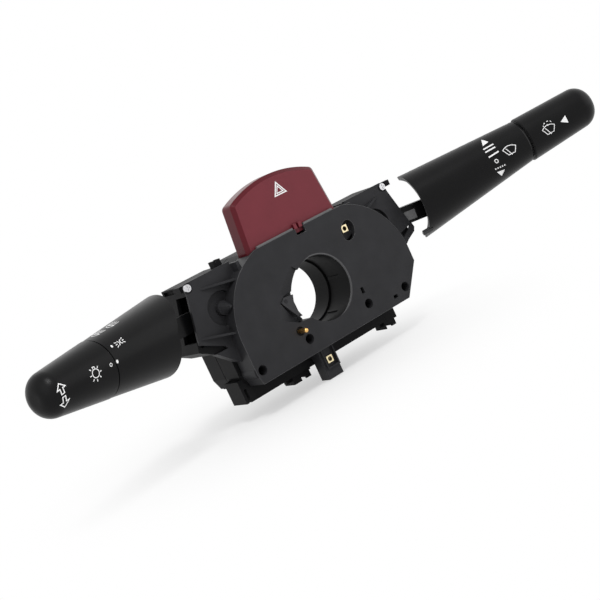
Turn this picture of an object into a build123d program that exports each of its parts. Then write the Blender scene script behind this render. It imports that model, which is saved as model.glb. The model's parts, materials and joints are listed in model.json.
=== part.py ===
# Combination stalk switch for a steering column, all sizes in millimetres.
# +X points to the driver's right, +Y away from the driver along the column, +Z up.
# The origin is the centre of the column bore on the front face of the plate.
import os
from math import atan2, cos, radians, sin, sqrt
from build123d import *

os.makedirs("parts", exist_ok=True)

# Clearances
running = 0.06          # radial, for a shaft that turns or slides in a hole
seat = 0.03             # radial, for a shaft that is fixed in a hole
gap = 0.4               # between pieces that move past each other

# Plate and stack
plate_half, plate_centre_x = 70.8, 2.6
plate_top, plate_bottom = 40.6, -33.4
plate_left, plate_right = plate_centre_x - plate_half, plate_centre_x + plate_half
shoulder_radius, shoulder_flat = 47.2, 1.6
shoulder_centre_z = plate_top - shoulder_radius + shoulder_flat
left_corner_x, left_corner_z = 1.6, 7.1
right_corner_x, right_corner_z = 15.8, 19.7
front_depth, middle_depth, rear_depth = 17.0, 17.5, 17.0
wall = 2.4
web = 2.4
cover_thickness = 2.4
stack_left, stack_kink = plate_left - 2.6, 7.9
joint_groove = 0.6
beyond = 60.0           # cutting solids reach past everything they cut

# Column bore and cancelling ring
column_bore_radius = 21.0
tube_wall = 3.0
shoulder_depth, tube_end = 10.0, 42.0
ring_end = 26.0
ring_outer_radius, ring_wall = 25.0, 3.0
ridge_height, ridge_width, ridge_length, ridge_count = 0.7, 1.6, 13.0, 6
race_wall = 2.4
funnel_start_radius, funnel_end_radius = 21.4, 29.0

# Wings and switch cases
wing_front, wing_wall = 9.5, 2.2
wing_inner_x = 48.0
wing_top, wing_low = 41.0, -16.0
wing_end_top_x, wing_end_top_z = 83.0, 34.0
left_wing_low_x, left_wing_low_z = 89.7, 4.5
right_wing_low_x, right_wing_low_z = 90.9, 7.9
case_inset = 1.6
case_top, case_bottom = 40.2, -4.8
case_back = 42.6
case_wall = 2.2
left_window_back, left_window_low, left_window_high = 28.0, 6.2, 33.4
right_window_back, right_window_low, right_window_high = 31.0, 2.4, 30.0
case_gap = 0.2
case_foot_left, case_foot_right = -82.0, 81.0

# Pivots of the stalks
turn_x, turn_z = 64.5, 17.5
journal_radius = 3.2
boss_radius = 7.0
pin_radius = 2.5
eye_radius = 6.2
eye_half = 7.2
fork_gap = 7.6
fork_plate = 3.0
cheek = 2.0
cheek_front, cheek_back = 14.5, 38.4
carrier_inner_x, carrier_outer_x = 53.0, 76.0
carrier_web = 3.0
left_pin_y, left_axis_z = 26.1, 17.1
right_pin_y, right_axis_z = 29.2, 12.6

# Stalks: u is the distance from the pivot along the stalk
left_slant, left_rise = 20.0, 3.4
right_slant, right_rise = 25.0, 5.4
bar_height, bar_width = 12.0, 6.0
right_bar_rise, right_bar_bend = 2.7, 9.0
rod_radius = 5.0
sleeve_wall = 2.2
sleeve_end = 4.0
left_base_u, left_base_angle = 57.6, 31.0
left_seam_u, left_tip_u = 104.1, 150.1
left_flare_radius, left_seam_radius = 25.5, 17.1
left_flare_u = 32.5
left_knob_radius, left_tip_radius, left_tip_round = 17.3, 12.1, 10.0
left_bar_end = 84.0
right_base_u, right_base_angle = 37.4, 38.0
right_seam_u, right_tip_u = 126.7, 183.1
right_flare_radius, right_seam_radius = 22.9, 15.1
right_flare_u = 33.8
right_concave_radius, right_concave_depth, right_concave_lift = 97.0, 4.9, 8.5
right_knob_radius, right_tip_radius, right_tip_round = 15.8, 13.8, 11.2
right_bar_end = 60.0
groove = 2.4
push_travel = 2.0
neck_ring_radius, neck_ring_length = 12.6, 7.6
knob_skirt_depth = 9.6
rod_in_knob = 24.0

# Hazard button
button_centre_x = -0.5
button_half_low, button_half_top = 36.6, 33.4
button_low, button_corner_z, button_crown_z = 37.6, 70.4, 78.2
button_front, button_back = 2.9, 15.2
button_wall = 2.2
button_bevel = 2.4
button_travel = 3.5
button_corner_round = 3.5
slot_margin = 0.6
tab_x, tab_width, tab_gap = 2.4, 6.2, 1.4
tab_front, tab_drop, tab_height = 0.6, 0.4, 3.4
slider_half, slider_height = 24.0, 3.0
guide_radius, spring_radius, spring_wire = 2.0, 3.6, 0.45
hazard_board_z = ring_outer_radius + running + race_wall + 0.6
board_thickness = 1.6

# Small pieces
horn_x, horn_z = -28.3, -16.6
horn_pin_radius, horn_reach, horn_travel = 1.5, 7.9, 3.0
horn_bush_radius, horn_flange_radius = 2.9, 2.5
nut_side, nut_bore, nut_clearance, nut_turn = 4.6, 1.5, 1.9, -1.5
upper_nut_x, upper_nut_z = 34.4, 26.2
hole_radius = 3.1
hole_points = [(plate_left + 4.6, plate_bottom + 7.8), (-24.4, plate_bottom + 9.8),
               (26.6, plate_bottom + 10.1), (plate_right - 15.2, plate_bottom + 7.6)]
boss_wall = 2.2
screw_x, screw_z, screw_head_radius, screw_shank_radius = 81.0, 38.0, 2.3, 1.3
screw_length, screw_head_proud, screw_slot, screw_slot_depth = 7.0, 0.8, 0.6, 0.6
lug_left, lug_right, lug_bottom, lug_front, lug_back = -18.7, -7.1, -54.2, 8.0, 17.2
lug_frame, lug_frame_height, lug_slot = 5.0, 1.2, 4.0
rail_left, rail_right, rail_bottom = plate_left - 2.0, 45.0, plate_bottom - 9.2
rail_front, rail_back = 17.4, 21.0
connector_front, connector_back, connector_bottom = 21.4, 33.0, -48.4
connector_wall, connector_notch, blade_setback = 1.6, 2.2, 5.0
left_connector_x0, left_connector_x1 = -35.4, -21.6
right_connector_x0, right_connector_x1 = 45.8, 55.0
foot_left, foot_thick = plate_left - 5.6, 1.8
foot_top, foot_bottom, foot_front, foot_back = plate_bottom + 5.9, plate_bottom - 8.9, 17.2, 34.2


def facing(y):
    """Sketch plane square to the column at depth y, seen from the driver."""
    return Plane(origin=(0, y, 0), x_dir=(1, 0, 0), z_dir=(0, -1, 0))


def block(x0, x1, y0, y1, z0, z1, mode=Mode.ADD):
    """Box between two corners."""
    with Locations(((x0 + x1) / 2, (y0 + y1) / 2, (z0 + z1) / 2)):
        Box(abs(x1 - x0), y1 - y0, z1 - z0, mode=mode)


def rod_y(x, z, radius, y0, y1, mode=Mode.ADD):
    """Cylinder along the column."""
    with Locations((x, (y0 + y1) / 2, z)):
        Cylinder(radius, y1 - y0, rotation=(90, 0, 0), mode=mode)


def rod_z(x, y, radius, z0, z1, mode=Mode.ADD):
    """Upright cylinder."""
    with Locations((x, y, (z0 + z1) / 2)):
        Cylinder(radius, z1 - z0, mode=mode)


def spun(plane, u0, u1, r0, r1, mode=Mode.ADD):
    """Cone or cylinder along a stalk axis from u0 to u1."""
    with Locations(plane.offset(u0)):
        if abs(r0 - r1) < 1e-6:
            Cylinder(r0, u1 - u0, align=(Align.CENTER, Align.CENTER, Align.MIN), mode=mode)
        else:
            Cone(r0, r1, u1 - u0, align=(Align.CENTER, Align.CENTER, Align.MIN), mode=mode)


def stalk_axis(side, pin_y, axis_z, slant, rise):
    """Plane at the pivot with its normal along the stalk and its x axis up."""
    s, r = radians(slant), radians(rise)
    along = Vector(side * cos(r) * cos(s), -cos(r) * sin(s), sin(r))
    up = (Vector(0, 0, 1) - along * along.Z).normalized()
    return Plane(origin=(side * turn_x, pin_y, axis_z), x_dir=up, z_dir=along)


left_axis = stalk_axis(-1, left_pin_y, left_axis_z, left_slant, left_rise)
right_axis = stalk_axis(1, right_pin_y, right_axis_z, right_slant, right_rise)
bend = radians(right_bar_bend)
right_root = Plane(origin=right_axis.origin + right_axis.x_dir * right_bar_rise,
                   x_dir=right_axis.x_dir * cos(bend) + right_axis.z_dir * sin(bend),
                   z_dir=right_axis.z_dir * cos(bend) - right_axis.x_dir * sin(bend))

# Profile of the plate
left_arc_x, right_arc_x = plate_left + shoulder_radius, plate_right - shoulder_radius
arc_rise = plate_top - shoulder_centre_z
arc_reach = sqrt(shoulder_radius ** 2 - arc_rise ** 2)
mid_angle = atan2(arc_rise, arc_reach) / 2
mid_x, mid_z = shoulder_radius * cos(mid_angle), shoulder_centre_z + shoulder_radius * sin(mid_angle)
with BuildSketch() as plate_profile:
    with BuildLine():
        Polyline((plate_left, shoulder_centre_z), (plate_left, plate_bottom + left_corner_z),
                 (plate_left + left_corner_x, plate_bottom), (plate_right - right_corner_x, plate_bottom),
                 (plate_right, plate_bottom + right_corner_z), (plate_right, shoulder_centre_z))
        ThreePointArc((plate_right, shoulder_centre_z), (right_arc_x + mid_x, mid_z),
                      (right_arc_x + arc_reach, plate_top))
        Line((right_arc_x + arc_reach, plate_top), (left_arc_x - arc_reach, plate_top))
        ThreePointArc((left_arc_x - arc_reach, plate_top), (left_arc_x - mid_x, mid_z),
                      (plate_left, shoulder_centre_z))
    make_face()

# Profile of the layers behind, which leave room for the switch cases
case_inner_x = wing_inner_x + case_gap
case_span = plate_half + plate_centre_x
with BuildSketch() as stack_profile:
    add(plate_profile.sketch)
    with BuildLine():
        Polyline((stack_left, case_bottom), (stack_left, plate_bottom + stack_kink),
                 (plate_left, plate_bottom + 1.0),
                 (plate_left + left_corner_x + 1.0, plate_bottom), (plate_left + stack_kink, plate_bottom),
                 (plate_left + stack_kink, case_bottom), close=True)
    make_face()
    with Locations((-wing_inner_x - case_span / 2, case_bottom - case_gap + case_span / 2),
                   (wing_inner_x + case_span / 2, case_bottom - case_gap + case_span / 2)):
        Rectangle(case_span, case_span, mode=Mode.SUBTRACT)

# Pocket for the pawl, left of the bore, with two sloping banks
pocket_points = [(-28.9, 7.3), (-12.0, 7.0), (-12.0, -11.0), (-25.2, -9.8), (-33.0, 4.6)]
pocket_depth, pocket_floor = 5.4, 2.0
upper_bank = [(-29.9, 10.3), (-15.0, 21.2), (-8.0, 14.0), (-12.0, 7.0), (-28.9, 7.3)]
lower_bank = [(-33.6, 4.2), (-36.2, -6.0), (-26.4, -11.6), (-12.0, -13.0), (-12.0, -10.0), (-25.2, -9.2),
              (-32.8, 4.3)]
bank_drop = 0.5
pawl_points = [(-28.3, 6.3), (-21.1, 5.4), (-22.6, 1.4), (-22.4, -7.2), (-24.0, -8.2), (-31.6, 4.3)]
pawl_x, pawl_z, pawl_pin_radius = -27.8, 3.6, 1.2
pawl_front, pawl_back = 1.7, 4.9

# Upper nut recess
nut_recess_depth, nut_recess_long, nut_recess_wide = 4.2, 6.8, 5.2
nut_recess_x, nut_recess_z, nut_recess_turn = 35.2, 24.4, 64.0
nut_boss_radius = 7.2

# Front housing with the plate, the wings and the front of the bore
left_wing = [(-wing_inner_x, wing_top), (-wing_end_top_x + 2.0, wing_top), (-wing_end_top_x, wing_top - 2.0),
             (-wing_end_top_x, wing_end_top_z), (-left_wing_low_x, left_wing_low_z),
             (plate_left - 6.1, case_bottom + 1.7), (plate_left, wing_low), (-wing_inner_x, wing_low)]
right_wing = [(wing_inner_x, wing_top), (wing_end_top_x - 2.0, wing_top), (wing_end_top_x, wing_top - 2.0),
              (wing_end_top_x + 0.6, wing_end_top_z), (right_wing_low_x, right_wing_low_z),
              (right_wing_low_x + 0.8, right_wing_low_z - 0.3),
              (right_wing_low_x + 1.6, right_wing_low_z - 3.5),
              (right_wing_low_x + 0.1, right_wing_low_z - 6.1), (plate_right + 6.6, case_bottom + 1.5),
              (plate_right, wing_low + 9.0), (plate_right - wall, wing_low), (wing_inner_x, wing_low)]
wing_hole = [(80.2, 5.0), (90.2, 7.2), (86.5, 4.1), (81.0, 1.2)]
lug_relief = 0.9
rib_thickness, rib_front, rib_root_top, rib_root_low = 1.4, 2.6, 30.2, 1.8
hub_radius, hub_height = 4.4, 1.5
cone_radius, cone_tip_radius, cone_length = 4.2, 0.8, 7.6
recess_radius, recess_depth, recess_backing = 10.7, 2.8, 12.7
slots = [(25.2, 27.5, -16.0, -11.9),
         (plate_right - 26.9, plate_right - 23.6, plate_bottom + 4.1, plate_bottom + 6.2)]


def bank(points, x0, z0, x1, z1, drop, mode):
    """Sloping cut: level with the plate along one line and deeper away from it."""
    line = Vector(x1 - x0, 0, z1 - z0).normalized()
    inward = Vector(-line.Z, 0, line.X)
    if inward.dot(Vector(-x0, 0, -z0)) < 0:
        inward = -inward
    slope = (inward + Vector(0, drop, 0)).normalized()
    with BuildSketch(facing(-wall)) as outline:
        with BuildLine():
            Polyline(*points, close=True)
        make_face()
    prism = extrude(outline.sketch, amount=-(shoulder_depth + 2 * wall), mode=Mode.PRIVATE)
    tilted = Plane(origin=(x0, 0, z0), x_dir=line, z_dir=line.cross(slope))
    keep = Keep.TOP if tilted.z_dir.Y < 0 else Keep.BOTTOM
    add(split(prism, bisect_by=tilted, keep=keep, mode=Mode.PRIVATE), mode=mode)


def rib(side, x0, z0, x1, z1):
    """Thin web from the edge of the plate down to the wing."""
    run = sqrt((x1 - x0) ** 2 + (z1 - z0) ** 2)
    edge = Plane(origin=(side * x0, 0, z0), x_dir=(side * (x1 - x0), 0, z1 - z0),
                 z_dir=(z0 - z1, 0, side * (x1 - x0)))
    with BuildSketch(edge) as web_face:
        with BuildLine():
            Polyline((-wall, rib_front), (0, rib_front), (run, wing_front), (run, wing_front + wing_wall),
                     (-wall, wing_front + wing_wall), close=True)
        make_face()
    extrude(web_face.sketch, amount=rib_thickness / 2, both=True)


def shoulder_edge(arc_x, z):
    """Distance of the plate's rounded edge from the column at height z."""
    return abs(arc_x) + sqrt(shoulder_radius ** 2 - (z - shoulder_centre_z) ** 2)


with BuildPart() as front_housing:
    with BuildSketch(facing(0)):
        add(plate_profile.sketch)
    extrude(amount=-front_depth)
    with BuildSketch(facing(wall)):
        offset(plate_profile.sketch, amount=-wall, kind=Kind.INTERSECTION)
    extrude(amount=-front_depth, mode=Mode.SUBTRACT)
    # Clear the corners for the switch cases behind the wings
    for side in (-1, 1):
        block(side * wing_inner_x, side * (wing_inner_x + case_span), wing_front + wing_wall, front_depth,
              case_bottom - case_gap, plate_top + wall, mode=Mode.SUBTRACT)
    # Wings
    for points in (left_wing, right_wing):
        with BuildSketch(facing(wing_front)):
            with BuildLine():
                Polyline(*points, close=True)
            make_face()
        extrude(amount=-wing_wall)
    # Pocket and relief in the lug of the right wing
    with BuildSketch(facing(wing_front - 1)):
        with BuildLine():
            Polyline(*wing_hole, close=True)
        make_face()
    extrude(amount=-(wing_wall + 2), mode=Mode.SUBTRACT)
    block(right_wing_low_x - 3.0, right_wing_low_x + 3.0, wing_front + wing_wall - lug_relief,
          wing_front + wing_wall + 1, right_wing_low_z - 9.0, right_wing_low_z + 6.0, mode=Mode.SUBTRACT)
    # Skirt under the left case
    with BuildSketch(facing(wing_front)):
        with BuildLine():
            Polyline((plate_left + wall, case_bottom - case_gap), (case_foot_left, case_bottom - case_gap),
                     (plate_left - 3.0, wing_low + 1.4), (plate_left, wing_low - 0.6),
                     (plate_left + wall, wing_low - 0.6), close=True)
        make_face()
    extrude(amount=-(front_depth - wing_front))
    # Inner cheeks close the cavity towards the cases
    for side in (-1, 1):
        block(side * (wing_inner_x - wall), side * wing_inner_x, wall, front_depth,
              case_bottom - case_gap - wall,
              plate_top - wall / 2)
        block(side * (wing_inner_x - wall), side * (plate_half - plate_centre_x - wall / 2), wing_front,
              front_depth,
              case_bottom - case_gap - wall, case_bottom - case_gap)
    # Tube and race round the bore
    rod_y(0, 0, column_bore_radius + tube_wall, wall / 2, shoulder_depth)
    rod_y(0, 0, ring_outer_radius + running + race_wall, shoulder_depth - wall, front_depth)
    # Floor of the pawl pocket and its banks
    for points in (pocket_points, upper_bank, lower_bank):
        with BuildSketch(facing(wall / 2)):
            with BuildLine():
                Polyline(*points, close=True)
            make_face()
            offset(amount=wall, kind=Kind.INTERSECTION)
        extrude(amount=-(pocket_depth + pocket_floor - wall / 2))
    with BuildSketch(facing(0)):
        with BuildLine():
            Polyline(*pocket_points, close=True)
        make_face()
    extrude(amount=-pocket_depth, mode=Mode.SUBTRACT)
    bank(upper_bank, *upper_bank[0], *upper_bank[1], bank_drop, Mode.SUBTRACT)
    bank(lower_bank, *lower_bank[0], *lower_bank[1], bank_drop, Mode.SUBTRACT)
    rod_y(pawl_x, pawl_z, pawl_pin_radius, pawl_front, pocket_depth + wall / 2)
    # Bosses for holes, horn pin and nut, then the holes themselves
    for x, z in hole_points:
        rod_y(x, z, hole_radius + boss_wall, wall / 2, front_depth)
    rod_y(horn_x, horn_z, horn_bush_radius + boss_wall, wall / 2, front_depth)
    rod_y(upper_nut_x, upper_nut_z, nut_boss_radius, wall / 2, wing_front)
    rod_y(0, 0, column_bore_radius, -wall, shoulder_depth + 0.01, mode=Mode.SUBTRACT)
    rod_y(0, 0, ring_outer_radius + running, shoulder_depth, front_depth, mode=Mode.SUBTRACT)
    for x, z in hole_points:
        rod_y(x, z, hole_radius, -wall, front_depth - wall, mode=Mode.SUBTRACT)
    rod_y(horn_x, horn_z, horn_bush_radius, -wall, front_depth - wall, mode=Mode.SUBTRACT)
    with BuildSketch(facing(0)):
        with Locations(Location((nut_recess_x, nut_recess_z), nut_recess_turn)):
            Ellipse(nut_recess_long, nut_recess_wide)
        with Locations(Location((upper_nut_x, upper_nut_z), nut_turn)):
            Rectangle(nut_side + 2 * seat, nut_side + 2 * seat)
    extrude(amount=-nut_recess_depth, mode=Mode.SUBTRACT)
    rod_y(upper_nut_x, upper_nut_z, nut_clearance, nut_recess_depth, front_depth, mode=Mode.SUBTRACT)
    for x0, x1, z0, z1 in slots:
        block(x0, x1, -wall, wall * 2, z0, z1, mode=Mode.SUBTRACT)
    # Opening for the hazard button and the notch for its tabs
    block(button_centre_x - button_half_low - slot_margin, button_centre_x + button_half_low + slot_margin,
          wall, button_back + slot_margin, plate_top - 2 * wall, plate_top + wall, mode=Mode.SUBTRACT)
    block(tab_x - tab_width / 2 - slot_margin, tab_x + tab_width / 2 + slot_margin, -wall, wall,
          plate_top - tab_drop - button_travel - gap, plate_top + wall, mode=Mode.SUBTRACT)
    # Ribs between plate and wings
    for side, arc_x in ((-1, left_arc_x), (1, right_arc_x)):
        rib(side, shoulder_edge(arc_x, rib_root_top), rib_root_top, wing_end_top_x - 9.0,
            wing_end_top_z - 0.2)
        if side < 0:
            rib(side, shoulder_edge(arc_x, rib_root_low), rib_root_low, left_wing_low_x - 2.2,
                left_wing_low_z + 2.8)
    # Bearing bosses, recesses and cones of the stalk pivots
    for side in (-1, 1):
        rod_y(side * turn_x, turn_z, recess_backing, wing_front, cheek_front - gap)
        with BuildSketch(facing(wing_front)):
            with Locations((side * turn_x, turn_z)):
                Circle(recess_radius)
                Circle(hub_radius, mode=Mode.SUBTRACT)
            add(plate_profile.sketch, mode=Mode.SUBTRACT)
        extrude(amount=-recess_depth, mode=Mode.SUBTRACT)
        rod_y(side * turn_x, turn_z, hub_radius, wing_front - hub_height, wing_front + wing_wall)
        rod_y(side * turn_x, turn_z, journal_radius + running, wing_front + wing_wall, cheek_front,
              mode=Mode.SUBTRACT)
        hub = Plane(origin=(side * turn_x, wing_front - hub_height, turn_z), x_dir=(1, 0, 0),
                    z_dir=(0, -1, 0))
        with Locations(hub):
            Cone(cone_radius, cone_tip_radius, cone_length, align=(Align.CENTER, Align.CENTER, Align.MIN))
        rod_y(side * screw_x, screw_z, screw_shank_radius, wing_front - wall, front_depth,
              mode=Mode.SUBTRACT)
        rod_y(side * screw_x, screw_z, screw_head_radius + 1.0, wing_front - wall,
              wing_front + screw_head_proud,
              mode=Mode.SUBTRACT)
front_housing.part.label = "front_housing"
export_step(front_housing.part, "parts/front_housing.step")

# Middle housing with the column tube
middle_back = front_depth + middle_depth
rear_back = middle_back + rear_depth


def groove_round(y):
    """Shallow groove round the front edge of a layer."""
    with BuildSketch(facing(y)) as band:
        add(stack_profile.sketch)
        offset(stack_profile.sketch, amount=-joint_groove, kind=Kind.INTERSECTION, mode=Mode.SUBTRACT)
    extrude(band.sketch, amount=-joint_groove, mode=Mode.SUBTRACT)


with BuildPart() as middle_housing:
    with BuildSketch(facing(front_depth)):
        add(stack_profile.sketch)
    extrude(amount=-middle_depth)
    with BuildSketch(facing(front_depth + web)):
        offset(stack_profile.sketch, amount=-wall, kind=Kind.INTERSECTION)
    extrude(amount=-middle_depth, mode=Mode.SUBTRACT)
    groove_round(front_depth)
    rod_y(0, 0, ring_outer_radius + running + race_wall, front_depth + web / 2, ring_end + wall)
    rod_y(0, 0, column_bore_radius + tube_wall, ring_end, tube_end)
    rod_y(0, 0, ring_outer_radius + running, front_depth - wall, ring_end, mode=Mode.SUBTRACT)
    rod_y(0, 0, column_bore_radius, front_depth - wall, tube_end + wall, mode=Mode.SUBTRACT)
    for x, z in hole_points:
        rod_y(x, z, screw_shank_radius, front_depth - wall, front_depth + 2 * web, mode=Mode.SUBTRACT)
middle_housing.part.label = "middle_housing"
export_step(middle_housing.part, "parts/middle_housing.step")

# Rear cover with a funnel round the column
column_axis = Plane(origin=(0, 0, 0), x_dir=(1, 0, 0), z_dir=(0, 1, 0))
cover_boss_radius, cover_boss_bite = 3.6, 1.0
boss_inset = wall + cover_boss_radius - cover_boss_bite
cover_screw_x, cover_screw_top = wing_inner_x - boss_inset, plate_top - boss_inset
cover_screw_low, cover_screw_left, cover_screw_right = plate_bottom + boss_inset, -60.0, 50.0
cover_screw_points = [(-cover_screw_x, cover_screw_top), (cover_screw_x, cover_screw_top),
                      (cover_screw_left, cover_screw_low), (cover_screw_right, cover_screw_low)]
with BuildPart() as rear_cover:
    with BuildSketch(facing(middle_back)):
        add(stack_profile.sketch)
    extrude(amount=-rear_depth)
    with BuildSketch(facing(middle_back - wall)):
        offset(stack_profile.sketch, amount=-wall, kind=Kind.INTERSECTION)
    extrude(amount=-(rear_depth + wall - cover_thickness), mode=Mode.SUBTRACT)
    for x, z in cover_screw_points:
        rod_y(x, z, cover_boss_radius, middle_back, rear_back)
        rod_y(x, z, screw_shank_radius, middle_back - wall, rear_back + wall, mode=Mode.SUBTRACT)
    groove_round(middle_back)
    # Funnel behind the tube
    start = tube_end + gap
    spread = (funnel_end_radius - funnel_start_radius) / (rear_back - start)
    spun(column_axis, start, rear_back, funnel_start_radius + wall, funnel_end_radius + wall)
    spun(column_axis, start - 1, rear_back + 1, funnel_start_radius - spread, funnel_end_radius + spread,
         mode=Mode.SUBTRACT)
rear_cover.part.label = "rear_cover"
export_step(rear_cover.part, "parts/rear_cover.step")

# Screws that hold the rear cover
cover_screw_head, cover_screw_head_height, screw_slot_half = 3.2, 2.0, 0.4
with BuildPart() as cover_screws:
    for x, z in cover_screw_points:
        rod_y(x, z, cover_screw_head, rear_back, rear_back + cover_screw_head_height)
        rod_y(x, z, screw_shank_radius - seat, middle_back + gap, rear_back)
        reach = cover_screw_head - 2 * screw_slot_half
        block(x - reach, x + reach, rear_back + cover_screw_head_height / 2,
              rear_back + 2 * cover_screw_head_height,
              z - screw_slot_half, z + screw_slot_half, mode=Mode.SUBTRACT)
cover_screws.part.label = "cover_screws"
export_step(cover_screws.part, "parts/cover_screws.step")

# Switch cases behind the wings, open at the end for the stalk
case_front = wing_front + wing_wall
case_end_top = wing_end_top_x - case_inset
left_case = [(-case_inner_x, case_top), (-case_end_top, case_top), (-case_end_top, wing_end_top_z),
             (-left_wing_low_x - 0.4, left_wing_low_z - 0.4),
             (-left_wing_low_x - 1.4, left_wing_low_z - 4.2),
             (case_foot_left, case_bottom), (-case_inner_x, case_bottom)]
right_case = [(case_inner_x, case_top), (case_end_top, case_top), (case_end_top, wing_end_top_z),
              (right_wing_low_x - case_inset, right_wing_low_z), (right_wing_low_x - case_inset, 0.6),
              (case_foot_right, case_bottom), (case_inner_x, case_bottom)]
left_floor = [(-left_wing_low_x + 0.4, 2.4), (-left_wing_low_x - 0.1, 0.6), (case_foot_left, case_bottom),
              (plate_left + 0.2, case_bottom), (plate_left + 0.2, 2.4)]
right_floor = [(wing_hole[0][0] - 1.2, 6.6), (88.6, 7.8), (88.8, 1.2),
               (case_foot_right + 0.5, case_bottom + 1.4),
               (wing_hole[0][0] - 1.2, case_bottom + 1.4)]
bracket_front, bracket_back, bracket_low = 13.4, 17.0, 36.6
left_bracket_reach, right_bracket_reach = 84.0, 91.3


def case_body(side, points, reach, back, low, high, floor_points, floor_thickness):
    """Case shell with the stalk window, both bearings, the bracket beside the wing screw and a low floor."""
    with BuildSketch(facing(case_front)) as shell:
        with BuildLine():
            Polyline(*points, close=True)
        make_face()
    extrude(shell.sketch, amount=-(case_back - case_front))
    with BuildSketch(facing(case_front)) as hollow:
        with BuildLine():
            Polyline(*points, close=True)
        make_face()
        offset(amount=-case_wall, kind=Kind.INTERSECTION, mode=Mode.REPLACE)
    extrude(hollow.sketch, amount=-(case_back - case_front - case_wall), mode=Mode.SUBTRACT)
    block(side * (case_end_top - 6 * case_wall), side * (case_end_top + 6 * case_wall),
          case_front - wall, back, low, high, mode=Mode.SUBTRACT)
    with BuildSketch(facing(case_front)) as floor:
        with BuildLine():
            Polyline(*floor_points, close=True)
        make_face()
    extrude(floor.sketch, amount=-floor_thickness)
    rod_y(side * turn_x, turn_z, recess_backing + case_gap, case_front - wall, case_front + 2 * case_wall,
          mode=Mode.SUBTRACT)
    rod_y(side * turn_x, turn_z, boss_radius, cheek_back + gap, case_back - case_wall)
    rod_y(side * turn_x, turn_z, journal_radius + running, cheek_back, case_back + wall, mode=Mode.SUBTRACT)
    block(side * (case_end_top - case_wall), side * reach, bracket_front, bracket_back, bracket_low,
          case_top)
    rod_y(side * screw_x, screw_z, screw_shank_radius, case_front - wall, case_back - case_wall,
          mode=Mode.SUBTRACT)


with BuildPart() as left_switch_case:
    case_body(-1, left_case, left_bracket_reach, left_window_back, left_window_low, left_window_high,
              left_floor, case_wall)
    # Long top bracket
    block(-left_bracket_reach, -case_end_top + case_wall, bracket_back, 22.0, bracket_low + 0.6, case_top)
left_switch_case.part.label = "left_switch_case"
export_step(left_switch_case.part, "parts/left_switch_case.step")

with BuildPart() as right_switch_case:
    case_body(1, right_case, right_bracket_reach, right_window_back, right_window_low, right_window_high,
              right_floor, case_wall / 2)
right_switch_case.part.label = "right_switch_case"
export_step(right_switch_case.part, "parts/right_switch_case.step")


def carrier_body(side, pin_y, axis_z):
    """Fork on two journals: it turns in the case and holds the upright pin of the stalk."""
    low, high = axis_z - fork_gap - fork_plate, axis_z + fork_gap + fork_plate
    inner, outer = side * carrier_inner_x, side * carrier_outer_x
    block(inner, outer, cheek_front, cheek_back, low, low + fork_plate)
    block(inner, outer, cheek_front, cheek_back, high - fork_plate, high)
    block(inner, inner + side * carrier_web, cheek_front, cheek_back, low, high)
    tongue = side * (turn_x + journal_radius + 0.5)
    block(inner, tongue, cheek_front, cheek_front + cheek, low, high)
    block(inner, tongue, cheek_back - cheek, cheek_back, low, high)
    rod_y(side * turn_x, turn_z, journal_radius, case_front + gap, cheek_front + cheek)
    rod_y(side * turn_x, turn_z, journal_radius, cheek_back - cheek, case_back)
    rod_z(side * turn_x, pin_y, pin_radius + seat, low - 1, high + 1, mode=Mode.SUBTRACT)


with BuildPart() as left_carrier:
    carrier_body(-1, left_pin_y, left_axis_z)
left_carrier.part.label = "left_carrier"
export_step(left_carrier.part, "parts/left_carrier.step")

with BuildPart() as right_carrier:
    carrier_body(1, right_pin_y, right_axis_z)
right_carrier.part.label = "right_carrier"
export_step(right_carrier.part, "parts/right_carrier.step")

# Upright hinge pins with a head
pin_head_radius, pin_head_height = 3.6, 1.0
with BuildPart() as left_hinge_pin:
    rod_z(-turn_x, left_pin_y, pin_radius, left_axis_z - fork_gap - fork_plate,
          left_axis_z + fork_gap + fork_plate)
    rod_z(-turn_x, left_pin_y, pin_head_radius, left_axis_z + fork_gap + fork_plate,
          left_axis_z + fork_gap + fork_plate + pin_head_height)
left_hinge_pin.part.label = "left_hinge_pin"
export_step(left_hinge_pin.part, "parts/left_hinge_pin.step")

with BuildPart() as right_hinge_pin:
    rod_z(turn_x, right_pin_y, pin_radius, right_axis_z - fork_gap - fork_plate,
          right_axis_z + fork_gap + fork_plate)
    rod_z(turn_x, right_pin_y, pin_head_radius, right_axis_z + fork_gap + fork_plate,
          right_axis_z + fork_gap + fork_plate + pin_head_height)
right_hinge_pin.part.label = "right_hinge_pin"
export_step(right_hinge_pin.part, "parts/right_hinge_pin.step")


def stalk_bar(side, axis, root, pin_y, axis_z, bar_end, rod_end):
    """Flat bar with an eye on the hinge pin, then a round rod."""
    rod_z(side * turn_x, pin_y, eye_radius, axis_z - eye_half, axis_z + eye_half)
    with Locations(root.offset(0)):
        Box(bar_height, bar_width, bar_end + gap, align=(Align.CENTER, Align.CENTER, Align.MIN))
    spun(axis, bar_end, rod_end, rod_radius, rod_radius)
    rod_z(side * turn_x, pin_y, pin_radius + running, axis_z - beyond, axis_z + beyond, mode=Mode.SUBTRACT)
    # Level faces of the eye inside the fork
    reach = carrier_outer_x - turn_x + 3 * gap
    for z0, z1 in ((axis_z + eye_half, axis_z + beyond), (axis_z - beyond, axis_z - eye_half)):
        block(side * turn_x - reach, side * turn_x + reach, pin_y - beyond, pin_y + beyond, z0, z1,
              mode=Mode.SUBTRACT)


with BuildPart() as left_stalk_bar:
    stalk_bar(-1, left_axis, left_axis, left_pin_y, left_axis_z, left_bar_end,
              left_seam_u + gap + rod_in_knob)
left_stalk_bar.part.label = "left_stalk_bar"
export_step(left_stalk_bar.part, "parts/left_stalk_bar.step")

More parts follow.
